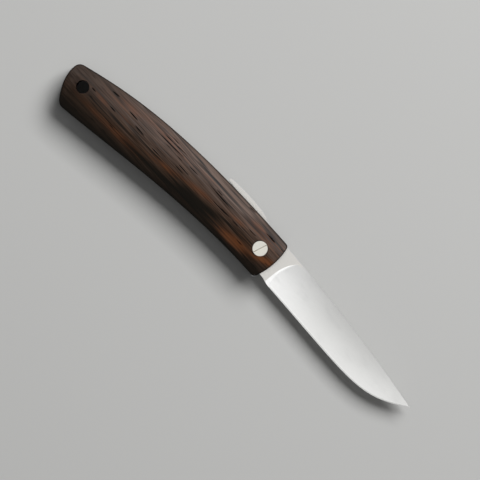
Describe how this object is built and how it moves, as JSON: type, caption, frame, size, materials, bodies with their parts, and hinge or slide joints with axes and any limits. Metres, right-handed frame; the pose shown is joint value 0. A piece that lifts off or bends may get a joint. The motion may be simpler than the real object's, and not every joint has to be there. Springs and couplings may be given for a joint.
{
  "type": "folding pocket knife",
  "caption": "Friction-folding pocket knife, open: curved wooden handle, plain straight-backed blade with a tail that lies on the handle's back, and a lanyard hole.",
  "frame": {"origin": "pivot axis at the outer flat of the lower scale, where the head of the pivot barrel lies flush", "axes": "+X from the pivot to the blade's tip, +Y to the blade's spine, +Z through the handle's thickness, up from what it lies on"},
  "size_m": [0.1819, 0.0359, 0.0131],
  "materials": {
    "wood": "oiled, satin, open grain",
    "blade_steel": "satin ground",
    "frame_steel": "satin",
    "nickel_silver": "satin",
    "bronze": "plain"
  },
  "bodies": {
    "handle": {"lower_scale": "wood", "lower_liner": "frame_steel", "back_spacer": "frame_steel", "upper_liner": "frame_steel", "upper_scale": "wood", "stop_pin": "frame_steel", "frame_pin_front": "frame_steel", "frame_pin_middle": "frame_steel", "frame_pin_rear": "frame_steel", "pivot_barrel": "nickel_silver", "lower_washer": "bronze", "upper_washer": "bronze", "pivot_screw": "nickel_silver"},
    "folding_blade": {"blade": "blade_steel"}
  },
  "joints": [
    {"name": "blade_fold", "type": "hinge", "parent": "handle", "child": "folding_blade", "pos_m": [0, 0, 0.00655], "axis": [0, 0, 1], "range_deg": [-170, 0]}
  ]
}
